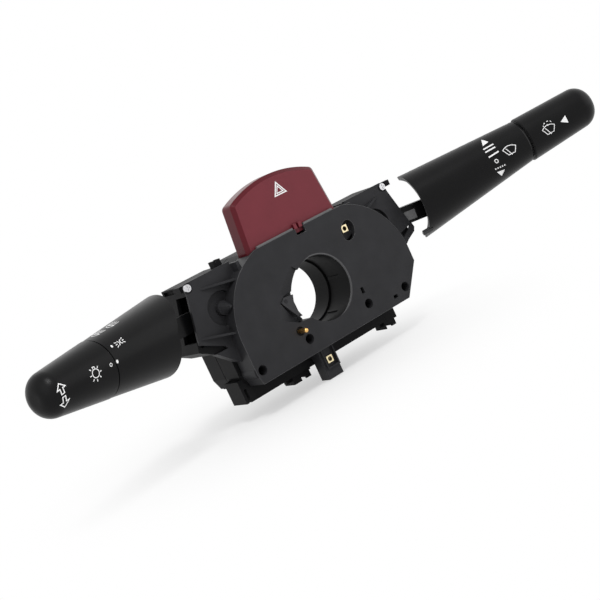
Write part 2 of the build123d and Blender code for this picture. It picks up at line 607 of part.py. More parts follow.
inset_start, inset_length, inset_height, inset_thickness, inset_drop = 31.6, 7.8, 6.2, 0.7, 0.9
root_rib, root_rib_length = 1.2, 15.0
with BuildPart() as right_stalk_bar:
    stalk_bar(1, right_axis, right_root, right_pin_y, right_axis_z, right_bar_end,
              right_seam_u + groove + rod_in_knob)
    # Lengthwise ribs of the root
    for x in (-bar_height / 2 + root_rib, bar_height / 2 - root_rib):
        with Locations(right_root.offset(inset_start)):
            with Locations((x, 0, 0)):
                Box(root_rib, bar_width + 2 * inset_thickness, root_rib_length,
                    align=(Align.CENTER, Align.CENTER, Align.MIN))
right_stalk_bar.part.label = "right_stalk_bar"
export_step(right_stalk_bar.part, "parts/right_stalk_bar.step")

# Grey inset on the driver's side of the right root
with BuildPart() as right_root_inset:
    with Locations(right_root.offset(inset_start)):
        with Locations((-inset_drop, bar_width / 2, 0)):
            Box(inset_height, inset_thickness, inset_length, align=(Align.CENTER, Align.MIN, Align.MIN))
right_root_inset.part.label = "right_root_inset"
export_step(right_root_inset.part, "parts/right_root_inset.step")


def flare(u, flare_u, flare_radius, seam_u, seam_radius):
    """Outer radius of a sleeve at u."""
    return flare_radius + (seam_radius - flare_radius) * (u - flare_u) / (seam_u - flare_u)


# Left sleeve, its upper half cut off at a slant and its lower half straight
left_start_u = 40.0
left_start_radius = flare(left_start_u, left_flare_u, left_flare_radius, left_seam_u, left_seam_radius)
left_end_radius = flare(left_seam_u - sleeve_end, left_flare_u, left_flare_radius, left_seam_u,
                        left_seam_radius)
left_side = Plane(origin=left_axis.origin, x_dir=left_axis.x_dir, z_dir=-left_axis.y_dir)
mouth_rise = beyond * sin(radians(left_base_angle)) / cos(radians(left_base_angle))
with BuildPart() as left_sleeve:
    spun(left_axis, left_start_u, left_seam_u, left_start_radius, left_seam_radius)
    spun(left_axis, left_start_u - 1, left_seam_u - sleeve_end, left_start_radius - sleeve_wall,
         left_end_radius - sleeve_wall, mode=Mode.SUBTRACT)
    spun(left_axis, left_seam_u - 2 * sleeve_end, left_seam_u + 1, rod_radius + seat, rod_radius + seat,
         mode=Mode.SUBTRACT)
    with BuildSketch(left_side):
        with BuildLine():
            Polyline((-beyond, 0), (-beyond, left_base_u), (0, left_base_u),
                     (beyond, left_base_u - mouth_rise),
                     (beyond, 0), close=True)
        make_face()
    extrude(amount=beyond, both=True, mode=Mode.SUBTRACT)
left_sleeve.part.label = "left_sleeve"
export_step(left_sleeve.part, "parts/left_sleeve.step")

# Rotary light knob, blind bore on the rod
with BuildPart() as light_knob:
    spun(left_axis, left_seam_u + gap, left_tip_u, left_knob_radius, left_tip_radius)
    fillet(light_knob.edges().sort_by(Axis(left_axis.origin, left_axis.z_dir))[-1], left_tip_round)
    chamfer(light_knob.edges().sort_by(Axis(left_axis.origin, left_axis.z_dir))[0], 0.5)
    spun(left_axis, left_seam_u - 1, left_seam_u + rod_in_knob + 2 * gap + 1, rod_radius + running,
         rod_radius + running, mode=Mode.SUBTRACT)
light_knob.part.label = "light_knob"
export_step(light_knob.part, "parts/light_knob.step")

# Right sleeve, scooped at its open end, cut back on the far side, with a catch at the lower corner
catch_angle, catch_width, catch_reach = 144.0, 3.4, 3.2
slant = radians(right_base_angle)
right_cut = Plane(origin=right_axis.origin + right_axis.z_dir * right_base_u, x_dir=right_axis.x_dir,
                  z_dir=right_axis.y_dir * sin(slant) + right_axis.z_dir * cos(slant))
right_start_radius = flare(right_base_u, right_flare_u, right_flare_radius, right_seam_u, right_seam_radius)
right_end_radius = flare(right_seam_u - sleeve_end, right_flare_u, right_flare_radius, right_seam_u,
                         right_seam_radius)
with BuildPart() as right_sleeve:
    spun(right_axis, right_base_u, right_seam_u, right_start_radius, right_seam_radius)
    spun(right_axis, right_base_u - 1, right_seam_u - sleeve_end, right_start_radius - sleeve_wall,
         right_end_radius - sleeve_wall, mode=Mode.SUBTRACT)
    spun(right_axis, right_seam_u - 2 * sleeve_end, right_seam_u + 1, rod_radius + seat, rod_radius + seat,
         mode=Mode.SUBTRACT)
    with Locations(right_axis.offset(right_base_u + right_concave_depth - right_concave_radius)):
        with Locations((right_concave_lift, 0, 0)):
            Cylinder(right_concave_radius, 2 * beyond, rotation=(90, 0, 0), mode=Mode.SUBTRACT)
    with Locations(right_cut):
        Box(2 * beyond, 2 * beyond, beyond, align=(Align.CENTER, Align.CENTER, Align.MAX),
            mode=Mode.SUBTRACT)
    # Catch at the lower corner of the rim
    catch_radius = right_start_radius - sleeve_wall / 2
    catch_x, catch_y = catch_radius * cos(radians(catch_angle)), catch_radius * sin(radians(catch_angle))
    with Locations(right_axis.offset(right_base_u - catch_reach)):
        with Locations(Location((catch_x, catch_y, 0), (0, 0, catch_angle))):
            Box(sleeve_wall - 0.2, catch_width, 2 * catch_reach + 1,
                align=(Align.CENTER, Align.CENTER, Align.MIN))
right_sleeve.part.label = "right_sleeve"
export_step(right_sleeve.part, "parts/right_sleeve.step")

# Glossy neck ring in the groove, on the rod
with BuildPart() as neck_ring:
    spun(right_axis, right_seam_u, right_seam_u + neck_ring_length, neck_ring_radius, neck_ring_radius)
    spun(right_axis, right_seam_u - 1, right_seam_u + neck_ring_length + 1, rod_radius + seat,
         rod_radius + seat,
         mode=Mode.SUBTRACT)
neck_ring.part.label = "neck_ring"
export_step(neck_ring.part, "parts/neck_ring.step")

# Wave spring washer between neck ring and button
wave_radius, wave_wall, wave_length = 9.0, 1.2, 1.0
with BuildPart() as button_wave_spring:
    start = right_seam_u + neck_ring_length
    spun(right_axis, start, start + wave_length, wave_radius, wave_radius)
    spun(right_axis, start - 1, start + wave_length + 1, wave_radius - wave_wall, wave_radius - wave_wall,
         mode=Mode.SUBTRACT)
button_wave_spring.part.label = "button_wave_spring"
export_step(button_wave_spring.part, "parts/button_wave_spring.step")

# Washer button at the end of the right stalk
right_knob_u = right_seam_u + groove
with BuildPart() as washer_button:
    spun(right_axis, right_knob_u, right_tip_u, right_knob_radius, right_tip_radius)
    fillet(washer_button.edges().sort_by(Axis(right_axis.origin, right_axis.z_dir))[-1], right_tip_round)
    chamfer(washer_button.edges().sort_by(Axis(right_axis.origin, right_axis.z_dir))[0], 0.5)
    spun(right_axis, right_knob_u - 1, right_knob_u + knob_skirt_depth, neck_ring_radius + gap,
         neck_ring_radius + gap, mode=Mode.SUBTRACT)
    spun(right_axis, right_knob_u + knob_skirt_depth - 1, right_knob_u + rod_in_knob + push_travel + gap,
         rod_radius + running, rod_radius + running, mode=Mode.SUBTRACT)
washer_button.part.label = "washer_button"
export_step(washer_button.part, "parts/washer_button.step")

# Hazard button, a hollow cap open underneath
with BuildSketch() as button_profile:
    with BuildLine() as button_line:
        Polyline((-button_half_top, button_corner_z), (-button_half_low, plate_top),
                 (-button_half_low, button_low),
                 (button_half_low, button_low), (button_half_low, plate_top),
                 (button_half_top, button_corner_z))
        ThreePointArc((button_half_top, button_corner_z), (0, button_crown_z),
                      (-button_half_top, button_corner_z))
    make_face()
    fillet(button_profile.vertices().group_by(Axis.Y)[-1], button_corner_round)
with BuildPart() as hazard_button:
    with BuildSketch(facing(button_front)):
        with Locations((button_centre_x, 0)):
            add(button_profile.sketch)
    extrude(amount=-(button_back - button_front))
    front_edges = hazard_button.faces().sort_by(Axis.Y)[0].edges()
    top_edges = front_edges.filter_by(lambda e: e.center().Z > button_low + 1)
    chamfer(top_edges, button_bevel)
    with BuildSketch(facing(button_front + button_wall)):
        with Locations((button_centre_x, 0)):
            offset(button_profile.sketch, amount=-button_wall - 1.0, kind=Kind.INTERSECTION)
            with Locations((0, button_low)):
                Rectangle(2 * (button_half_low - button_wall), 4 * button_wall)
    extrude(amount=-(button_back - button_front - 2 * button_wall), mode=Mode.SUBTRACT)
    # Tabs in the notch
    tab_side = (tab_width - tab_gap) / 2
    for x in (tab_x - tab_width / 2, tab_x + tab_gap / 2):
        block(x, x + tab_side, tab_front, button_front, plate_top - tab_drop,
              plate_top - tab_drop + tab_height)
hazard_button.part.label = "hazard_button"
export_step(hazard_button.part, "parts/hazard_button.step")

# Slider inside the button and its guide
slider_front, slider_back = button_front + button_wall, button_back - button_wall
guide_y = (slider_front + slider_back) / 2
board_top = hazard_board_z + board_thickness
with BuildPart() as hazard_slider:
    block(button_centre_x - slider_half, button_centre_x + slider_half, slider_front, slider_back,
          button_low, button_low + slider_height)
    rod_z(button_centre_x, guide_y, guide_radius + running, button_low - 1, button_low + slider_height + 1,
          mode=Mode.SUBTRACT)
hazard_slider.part.label = "hazard_slider"
export_step(hazard_slider.part, "parts/hazard_slider.step")

with BuildPart() as hazard_board:
    block(button_centre_x - slider_half, button_centre_x + slider_half, wall + gap, front_depth - wall,
          hazard_board_z, board_top)
hazard_board.part.label = "hazard_board"
export_step(hazard_board.part, "parts/hazard_board.step")

with BuildPart() as hazard_guide:
    rod_z(button_centre_x, guide_y, guide_radius, board_top, button_low + slider_height)
hazard_guide.part.label = "hazard_guide"
export_step(hazard_guide.part, "parts/hazard_guide.step")

# Coil spring under the slider
hazard_coil_count = 4
with BuildPart() as hazard_spring:
    spring_height = button_low - board_top
    pitch = (spring_height - 2 * spring_wire) / hazard_coil_count
    with BuildLine() as hazard_coil:
        Helix(pitch, spring_height - 2 * spring_wire, spring_radius,
              center=(button_centre_x, guide_y, board_top + spring_wire))
    with BuildSketch(Plane(origin=hazard_coil.line @ 0, z_dir=hazard_coil.line % 0)):
        RegularPolygon(spring_wire, 6)
    sweep(is_frenet=True)
hazard_spring.part.label = "hazard_spring"
export_step(hazard_spring.part, "parts/hazard_spring.step")

# Glossy strips on top of the plate edge
strip_front, strip_back, strip_height, strip_reach, strip_gap = 0.5, 2.2, 1.3, 31.0, 1.4
with BuildPart() as top_strips:
    block(-strip_reach, tab_x - tab_width / 2 - strip_gap, strip_front, strip_back, plate_top,
          plate_top + strip_height)
    block(tab_x + tab_width / 2 + strip_gap, strip_reach, strip_front, strip_back, plate_top,
          plate_top + strip_height)
top_strips.part.label = "top_strips"
export_step(top_strips.part, "parts/top_strips.step")

# Cancelling ring that the steering shaft turns
with BuildPart() as cancelling_ring:
    ring_front, ring_back = shoulder_depth + gap / 2, ring_end - gap / 2
    inner = ring_outer_radius - ring_wall
    rod_y(0, 0, ring_outer_radius, ring_front, ring_back)
    rod_y(0, 0, inner, ring_front - 1, ring_back + 1, mode=Mode.SUBTRACT)
    for i in range(ridge_count):
        with Locations(Location((0, ring_front + ridge_length / 2, 0), (0, 360 / ridge_count * i, 0))):
            with Locations((inner - ridge_height / 2 + joint_groove / 2, 0, 0)):
                Box(ridge_height + joint_groove, ridge_length, ridge_width)
cancelling_ring.part.label = "cancelling_ring"
export_step(cancelling_ring.part, "parts/cancelling_ring.step")

# Cancelling pawl on its pin
with BuildPart() as cancelling_pawl:
    with BuildSketch(facing(pawl_front)):
        with BuildLine():
            Polyline(*pawl_points, close=True)
        make_face()
        with Locations((pawl_x, pawl_z)):
            Circle(pawl_pin_radius + running, mode=Mode.SUBTRACT)
    extrude(amount=-(pawl_back - pawl_front))
cancelling_pawl.part.label = "cancelling_pawl"
export_step(cancelling_pawl.part, "parts/cancelling_pawl.step")

# Horn contact: bush, sprung pin and rear cup
bush_front, bush_back = 0.8, 6.0
flange_back = bush_back + 1.2
cup_bottom = front_depth - 2 * wall - 0.4
with BuildPart() as horn_bush:
    rod_y(horn_x, horn_z, horn_bush_radius - seat, bush_front, bush_back)
    rod_y(horn_x, horn_z, horn_pin_radius + running, bush_front - 1, bush_back + 1, mode=Mode.SUBTRACT)
horn_bush.part.label = "horn_bush"
export_step(horn_bush.part, "parts/horn_bush.step")

with BuildPart() as horn_pin:
    rod_y(horn_x, horn_z, horn_pin_radius, -horn_reach + horn_pin_radius, bush_back)
    with Locations((horn_x, -horn_reach + horn_pin_radius, horn_z)):
        Sphere(horn_pin_radius)
    rod_y(horn_x, horn_z, horn_flange_radius - 0.1, bush_back, flange_back)
horn_pin.part.label = "horn_pin"
export_step(horn_pin.part, "parts/horn_pin.step")

horn_spring_radius, horn_wire, horn_coil_count = 1.7, 0.35, 3
horn_spring_length = cup_bottom - flange_back - 2 * horn_wire
with BuildPart() as horn_spring:
    with BuildLine() as horn_coil:
        Helix(horn_spring_length / horn_coil_count, horn_spring_length, horn_spring_radius,
              center=(horn_x, flange_back + horn_wire, horn_z), direction=(0, 1, 0))
    with BuildSketch(Plane(origin=horn_coil.line @ 0, z_dir=horn_coil.line % 0)):
        RegularPolygon(horn_wire, 6)
    sweep(is_frenet=True)
horn_spring.part.label = "horn_spring"
export_step(horn_spring.part, "parts/horn_spring.step")

with BuildPart() as horn_cup:
    rod_y(horn_x, horn_z, horn_bush_radius - seat, cup_bottom, front_depth - wall)
horn_cup.part.label = "horn_cup"
export_step(horn_cup.part, "parts/horn_cup.step")

# Brass square nuts
upper_nut_front = 1.6
with BuildPart() as upper_nut:
    with BuildSketch(facing(upper_nut_front)):
        with Locations(Location((upper_nut_x, upper_nut_z), nut_turn)):
            Rectangle(nut_side, nut_side)
        with Locations((upper_nut_x, upper_nut_z)):
            Circle(nut_bore, mode=Mode.SUBTRACT)
    extrude(amount=-(nut_recess_depth - upper_nut_front))
upper_nut.part.label = "upper_nut"
export_step(upper_nut.part, "parts/upper_nut.step")

# Lower lug with a slot that holds the second nut
lug_nut_z, lug_nut_x, lug_nut_depth = -42.6, (lug_left + lug_right) / 2 + 0.8, 2.6
with BuildPart() as lower_lug:
    block(lug_left, lug_right, lug_front, lug_back, lug_bottom, plate_bottom)
    block(lug_nut_x - lug_frame, lug_nut_x + lug_frame, lug_front - lug_frame_height, lug_front,
          lug_nut_z - lug_frame - 0.4, plate_bottom)
    block(lug_nut_x - lug_slot, lug_nut_x + lug_slot, lug_front - 2 * lug_frame_height, lug_front + 0.8,
          lug_nut_z - lug_slot - 0.2, plate_bottom + 1, mode=Mode.SUBTRACT)
    block(lug_nut_x - nut_side / 2, lug_nut_x + nut_side / 2, lug_front, lug_front + 0.8 + lug_nut_depth,
          lug_nut_z - nut_side / 2, lug_nut_z + nut_side / 2, mode=Mode.SUBTRACT)
    rod_y(lug_nut_x, lug_nut_z, nut_clearance, lug_front, lug_back + 1, mode=Mode.SUBTRACT)
lower_lug.part.label = "lower_lug"
export_step(lower_lug.part, "parts/lower_lug.step")

with BuildPart() as lower_nut:
    block(lug_nut_x - nut_side / 2, lug_nut_x + nut_side / 2, lug_front + 0.2,
          lug_front + 0.8 + lug_nut_depth,
          lug_nut_z - nut_side / 2, lug_nut_z + nut_side / 2)
    rod_y(lug_nut_x, lug_nut_z, nut_bore, lug_front - 1, lug_back, mode=Mode.SUBTRACT)
lower_nut.part.label = "lower_nut"
export_step(lower_nut.part, "parts/lower_nut.step")

# Wing screws with a cross slot


def wing_screw(x):
    """Pan head screw in its counterbore."""
    head_front = wing_front - screw_head_proud
    with Locations((x, head_front, screw_z)):
        Cylinder(screw_head_radius, 2 * screw_head_proud, rotation=(-90, 0, 0),
                 align=(Align.CENTER, Align.CENTER, Align.MIN))
    rod_y(x, screw_z, screw_shank_radius - seat, wing_front + screw_head_proud, wing_front + screw_length)
    reach = screw_head_radius - screw_slot
    for wide, high in ((reach, screw_slot / 2), (screw_slot / 2, reach)):
        block(x - wide, x + wide, head_front - 1, head_front + screw_slot_depth, screw_z - high,
              screw_z + high,
              mode=Mode.SUBTRACT)


with BuildPart() as left_wing_screw:
    wing_screw(-screw_x)
left_wing_screw.part.label = "left_wing_screw"
export_step(left_wing_screw.part, "parts/left_wing_screw.step")

with BuildPart() as right_wing_screw:
    wing_screw(screw_x)
right_wing_screw.part.label = "right_wing_screw"
export_step(right_wing_screw.part, "parts/right_wing_screw.step")

# Rail under the middle housing
with BuildPart() as rear_rail:
    block(rail_left, rail_right, rail_front, rail_back, rail_bottom, plate_bottom)
rear_rail.part.label = "rear_rail"
export_step(rear_rail.part, "parts/rear_rail.step")

# Foot at the lower left corner
with BuildPart() as foot_block:
    with BuildSketch(facing(foot_front)):
        with BuildLine():
            Polyline((foot_left, foot_top), (stack_left + 1.0, foot_top), (plate_left + 1.0, plate_bottom),
                     (foot_left + foot_thick, plate_bottom), (foot_left + foot_thick, foot_bottom),
                     (foot_left, foot_bottom), close=True)
        make_face()
        add(stack_profile.sketch, mode=Mode.SUBTRACT)
    extrude(amount=-(foot_back - foot_front))
foot_block.part.label = "foot_block"
export_step(foot_block.part, "parts/foot_block.step")


def connector_body(x0, x1, notch0, notch1, key_left, key_right):
    """Open socket under the middle housing with a notch in front and a key on each side."""
    block(x0, x1, connector_front, connector_back, connector_bottom, plate_bottom)
    block(x0 + connector_wall, x1 - connector_wall, connector_front + connector_wall,
          connector_back - connector_wall, connector_bottom - 1, plate_bottom - case_wall,
          mode=Mode.SUBTRACT)
    block(notch0, notch1, connector_front - 1, connector_front + connector_wall + 1, connector_bottom - 1,
          connector_bottom + connector_notch, mode=Mode.SUBTRACT)
    block(x0 - key_left, x0, connector_front + 3.0, connector_front + 6.0, connector_bottom + 2.2,
          plate_bottom)
    block(x1, x1 + key_right, connector_front + 0.6, connector_front + 5.0, connector_bottom + 3.8,
          plate_bottom)


with BuildPart() as left_connector:
    connector_body(left_connector_x0, left_connector_x1, left_connector_x0 + 6.2, left_connector_x0 + 9.9,
                   3.4, 1.6)
left_connector.part.label = "left_connector"
export_step(left_connector.part, "parts/left_connector.step")

with BuildPart() as right_connector:
    connector_body(right_connector_x0, right_connector_x1, right_connector_x0 + 0.8,
                   right_connector_x0 + 5.6,
                   2.0, 3.0)
right_connector.part.label = "right_connector"
export_step(right_connector.part, "parts/right_connector.step")


def terminal_blades(x0, x1, count):
    """Flat blades standing in a socket."""
    step = (x1 - x0 - 2 * connector_wall) / count
    for i in range(count):
        x = x0 + connector_wall + (i + 0.5) * step
        block(x - 0.4, x + 0.4, connector_front + connector_wall + 2.0,
              connector_back - connector_wall - 2.0,
              connector_bottom + blade_setback, plate_bottom - case_wall)


with BuildPart() as left_terminals:
    terminal_blades(left_connector_x0, left_connector_x1, 4)
left_terminals.part.label = "left_terminals"
export_step(left_terminals.part, "parts/left_terminals.step")

with BuildPart() as right_terminals:
    terminal_blades(right_connector_x0, right_connector_x1, 3)
right_terminals.part.label = "right_terminals"
export_step(right_terminals.part, "parts/right_terminals.step")

# Contact boards on the floor of the cases
board_low = case_bottom + case_wall
board_inner_x, board_outer_x, board_front, board_back = wing_inner_x + 6.0, 78.0, 16.0, 34.0
strip_rows, strip_thickness = 3, 0.3


def contact_board(side):
    """Flat board."""
    block(side * board_inner_x, side * board_outer_x, board_front, board_back, board_low,
          board_low + board_thickness)


def contact_strips(side):
    """Fixed contact strips on a board."""
    pitch = (board_back - board_front) / strip_rows
    for i in range(strip_rows):
        y = board_front + (i + 0.5) * pitch
        block(side * (board_inner_x + pitch / 2), side * (board_outer_x - pitch / 2), y - pitch / 6,
              y + pitch / 6,
              board_low + board_thickness, board_low + board_thickness + strip_thickness)


with BuildPart() as left_contact_board:
    contact_board(-1)
left_contact_board.part.label = "left_contact_board"
export_step(left_contact_board.part, "parts/left_contact_board.step")

with BuildPart() as right_contact_board:
    contact_board(1)
right_contact_board.part.label = "right_contact_board"
export_step(right_contact_board.part, "parts/right_contact_board.step")

with BuildPart() as left_contact_strips:
    contact_strips(-1)
left_contact_strips.part.label = "left_contact_strips"
export_step(left_contact_strips.part, "parts/left_contact_strips.step")

with BuildPart() as right_contact_strips:
    contact_strips(1)
right_contact_strips.part.label = "right_contact_strips"
export_step(right_contact_strips.part, "parts/right_contact_strips.step")

# Cable clip on the top edge
clip_left, clip_width, clip_front, clip_back, clip_height, clip_lip = -55.0, 5.4, 15.0, 21.0, 3.6, 1.6
with BuildPart() as cable_clip:
    block(clip_left, clip_left + clip_width, clip_front, clip_back, case_top, case_top + clip_height)
    for x in (clip_left, clip_left + clip_width - clip_lip):
        block(x, x + clip_lip, clip_front, clip_back, case_top + clip_height, case_top + clip_height + 1.0)
cable_clip.part.label = "cable_clip"
export_step(cable_clip.part, "parts/cable_clip.step")
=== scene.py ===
import json
import math
import bmesh
import bpy
from mathutils import Matrix, Vector


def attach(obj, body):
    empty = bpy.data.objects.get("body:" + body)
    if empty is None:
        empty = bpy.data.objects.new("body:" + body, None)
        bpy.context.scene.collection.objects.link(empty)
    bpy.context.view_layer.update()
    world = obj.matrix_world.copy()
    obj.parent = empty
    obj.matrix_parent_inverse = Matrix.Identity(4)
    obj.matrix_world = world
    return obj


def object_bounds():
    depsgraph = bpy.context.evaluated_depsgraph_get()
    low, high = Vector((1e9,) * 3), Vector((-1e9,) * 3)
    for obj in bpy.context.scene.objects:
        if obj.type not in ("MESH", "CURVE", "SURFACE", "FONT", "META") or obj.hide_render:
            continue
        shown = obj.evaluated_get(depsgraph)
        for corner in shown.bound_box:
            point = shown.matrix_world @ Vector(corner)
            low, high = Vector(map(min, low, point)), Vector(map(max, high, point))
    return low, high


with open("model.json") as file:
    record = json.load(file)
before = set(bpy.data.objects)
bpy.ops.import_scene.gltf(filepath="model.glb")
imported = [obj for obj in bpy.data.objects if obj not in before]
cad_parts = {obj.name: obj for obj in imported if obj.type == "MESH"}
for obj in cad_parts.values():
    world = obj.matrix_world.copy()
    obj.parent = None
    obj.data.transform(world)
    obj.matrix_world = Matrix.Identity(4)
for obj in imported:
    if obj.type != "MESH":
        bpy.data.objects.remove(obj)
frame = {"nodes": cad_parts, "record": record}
nodes = frame["nodes"]
start_low, start_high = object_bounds()
scene = bpy.context.scene
MM = 0.001


def add(name, data):
    """New object in the scene with this data."""
    obj = bpy.data.objects.new(name, data)
    scene.collection.objects.link(obj)
    return obj


def seen(red, green, blue):
    """Linear colour from the 0 to 255 values that the surface shows."""
    def linear(v):
        v = v / 255
        return v / 12.92 if v <= 0.04045 else ((v + 0.055) / 1.055) ** 2.4
    return (linear(red), linear(green), linear(blue), 1.0)


# Mottling of colour and roughness, moulded grain, and the dusty sheen of the stalks
CLOUD_SCALE, CLOUD_DETAIL = 70.0, 4.0
CLOUD_FROM, CLOUD_TO = 0.3, 0.7
ROUGH_SPREAD, ROUGH_LEAST = 0.06, 0.02
GRAIN_DETAIL, GRAIN_DEPTH = 2.0, 0.0001
SHEEN_ROUGHNESS = 0.35


def surface(name, color, roughness, metallic=0.0, specular=0.3, spread=0.12, grain=0.0,
            grain_size=0.0006, sheen=0.0, edge=0.0):
    """Procedural finish: mottled colour, uneven roughness, moulded grain and softened edges."""
    mat = bpy.data.materials.new(name)
    mat.use_nodes = True
    tree = mat.node_tree
    shader = tree.nodes["Principled BSDF"]
    shader.inputs["Metallic"].default_value = metallic
    shader.inputs["Specular IOR Level"].default_value = specular
    shader.inputs["Sheen Weight"].default_value = sheen
    shader.inputs["Sheen Roughness"].default_value = SHEEN_ROUGHNESS
    place = tree.nodes.new("ShaderNodeTexCoord")
    cloud = tree.nodes.new("ShaderNodeTexNoise")
    cloud.inputs["Scale"].default_value = CLOUD_SCALE
    cloud.inputs["Detail"].default_value = CLOUD_DETAIL
    tree.links.new(place.outputs["Object"], cloud.inputs["Vector"])
    ramp = tree.nodes.new("ShaderNodeValToRGB")
    dark, light = ramp.color_ramp.elements
    dark.position, light.position = CLOUD_FROM, CLOUD_TO
    dark.color = tuple(c * (1 - spread) for c in color[:3]) + (1.0,)
    light.color = tuple(min(1.0, c * (1 + spread)) for c in color[:3]) + (1.0,)
    tree.links.new(cloud.outputs["Fac"], ramp.inputs["Fac"])
    tree.links.new(ramp.outputs["Color"], shader.inputs["Base Color"])
    span = tree.nodes.new("ShaderNodeMapRange")
    span.inputs["To Min"].default_value = max(ROUGH_LEAST, roughness - ROUGH_SPREAD)
    span.inputs["To Max"].default_value = min(1.0, roughness + ROUGH_SPREAD)
    tree.links.new(cloud.outputs["Fac"], span.inputs["Value"])
    tree.links.new(span.outputs["Result"], shader.inputs["Roughness"])
    if grain:
        fine = tree.nodes.new("ShaderNodeTexNoise")
        fine.inputs["Scale"].default_value = 1 / grain_size
        fine.inputs["Detail"].default_value = GRAIN_DETAIL
        tree.links.new(place.outputs["Object"], fine.inputs["Vector"])
        bump = tree.nodes.new("ShaderNodeBump")
        bump.inputs["Strength"].default_value = grain
        bump.inputs["Distance"].default_value = GRAIN_DEPTH
        tree.links.new(fine.outputs["Fac"], bump.inputs["Height"])
        tree.links.new(bump.outputs["Normal"], shader.inputs["Normal"])
        if edge:
            rounded = tree.nodes.new("ShaderNodeBevel")
            rounded.inputs["Radius"].default_value = edge
            tree.links.new(rounded.outputs["Normal"], bump.inputs["Normal"])
    return mat


finish = {
    "housing_plastic": surface("housing plastic", seen(43, 43, 45), 0.46, specular=0.13, grain=0.35,
                               edge=0.0005),
    "stalk_plastic": surface("stalk plastic", seen(9, 9, 10), 0.33, specular=0.14, sheen=0.06,
                             grain=0.25, grain_size=0.0004),
    "case_plastic": surface("case plastic", seen(22, 22, 23), 0.5, specular=0.07, grain=0.35,
                            edge=0.0004),
    # Painted shade: a darker copy of the housing plastic for the faces inside the bore
    "bore_painted_shade": surface("bore painted shade", seen(15, 15, 16), 0.42, specular=0.05, grain=0.3),
    "pawl_plastic": surface("pawl plastic", seen(52, 52, 54), 0.44, specular=0.2, grain=0.3,
                            edge=0.0003),
    # Paler and glossier than the housing plastic: the paler colour is a painted highlight along the
    # lip and bead, the gloss catches the lamps
    "edge_highlight_plastic": surface("edge highlight plastic", seen(54, 54, 56), 0.28, specular=0.5, grain=0.1),
    "dark_gloss": surface("dark gloss", seen(20, 20, 21), 0.16, specular=0.5),
    "grey_plastic": surface("grey plastic", seen(100, 100, 101), 0.35),
    "hazard_red": surface("hazard red", seen(108, 44, 52), 0.42, specular=0.18, spread=0.05,
                          grain=0.15, edge=0.0004),
    "hazard_rim": surface("hazard rim", seen(86, 18, 28), 0.3, specular=0.16, spread=0.05,
                          grain=0.08, edge=0.0006),
    "brass": surface("brass", seen(236, 188, 116), 0.3, metallic=1.0, spread=0.1),
    "nut_brass": surface("nut brass", seen(252, 232, 190), 0.34, metallic=1.0, grain=0.3,
                         edge=0.0003),
    "bright_steel": surface("bright steel", seen(205, 205, 207), 0.25, metallic=1.0, spread=0.05),
    "spring_steel": surface("spring steel", seen(150, 150, 152), 0.35, metallic=1.0),
    "board": surface("board", seen(52, 92, 64), 0.5),
    "print": surface("white print", seen(238, 238, 238), 0.6, spread=0.03),
}
slot_of = {part["node"]: part["material_slot"] for part in frame["record"]["subparts"]}


def smooth(obj, angle=32.0):
    """Smooth shading, with creases kept where faces meet at more than this angle."""
    obj.data.shade_smooth()
    obj.data.set_sharp_from_angle(angle=math.radians(angle))


for name, node in nodes.items():
    node.data.materials.clear()
    node.data.materials.append(finish[slot_of[name]])
    smooth(node)

# The walls of the bore and the cancelling ring in it are painted darker than the plate as painted
# shade inside the bore, and the pawl is paler
BORE_WALL_REACH = 0.0262
WALL_SLOPE = 0.7
housing = nodes["front_housing"].data
housing.materials.append(finish["bore_painted_shade"])
for poly in housing.polygons:
    from_axis = math.hypot(poly.center.x, poly.center.z)
    if from_axis < BORE_WALL_REACH and abs(poly.normal.y) < WALL_SLOPE:
        poly.material_index = 1
nodes["cancelling_ring"].data.materials[0] = finish["bore_painted_shade"]
nodes["cancelling_pawl"].data.materials[0] = finish["pawl_plastic"]

# The square nuts are paler than the pin
for name in ("upper_nut", "lower_nut"):
    nodes[name].data.materials[0] = finish["nut_brass"]

# The bevel and the sides of the hazard button are a deeper, glossier red than its face
RIM_SLOPE = 0.98
button = nodes["hazard_button"].data
button.materials.append(finish["hazard_rim"])
for poly in button.polygons:
    if abs(poly.normal.y) < RIM_SLOPE:
        poly.material_index = 1

# Stalk axes, the same as in the solids, in millimetres and degrees
TURN_X = 64.5


def axis(side, pin_y, axis_z, slant, rise):
    """Pin, direction along the stalk, upward and sideways directions."""
    s, r = math.radians(slant), math.radians(rise)
    along = Vector((side * math.cos(r) * math.cos(s), -math.cos(r) * math.sin(s), math.sin(r)))
    up = (Vector((0, 0, 1)) - along * along.z).normalized()
    return Vector((side * TURN_X, pin_y, axis_z)), along, up, along.cross(up)


LEFT = axis(-1, 26.1, 17.1, 20.0, 3.4)
RIGHT = axis(1, 29.2, 12.6, 25.0, 5.4)
# Cones of the printed surfaces: distance and radius where each starts, then where it ends
LEFT_KNOB = (104.5, 17.3, 150.1, 12.1)
LEFT_SLEEVE = (32.5, 25.5, 104.1, 17.1)
RIGHT_SLEEVE = (33.8, 22.9, 126.7, 15.1)
RIGHT_KNOB = (129.1, 15.8, 183.1, 13.8)


def cone_map(stalk, cone, lift):
    """Maps (distance along the stalk, arc round it) in millimetres onto the cone."""
    origin, along, up, across = stalk
    u0, r0, u1, r1 = cone

    def place(u, arc, extra):
        r = r0 + (r1 - r0) * (u - u0) / (u1 - u0)
        turn = arc / r
        out = up * math.cos(turn) + across * math.sin(turn)
        return (origin + along * u + out * (r + lift + extra)) * MM
    return place


def flat_map(y, lift):
    """Maps (x, z) in millimetres onto a face square to the column."""
    def place(x, z, extra):
        return Vector((x, y - lift - extra, z)) * MM
    return place


# Least cosine that a sharp corner's mitre is divided by
MITRE_LEAST = 0.35


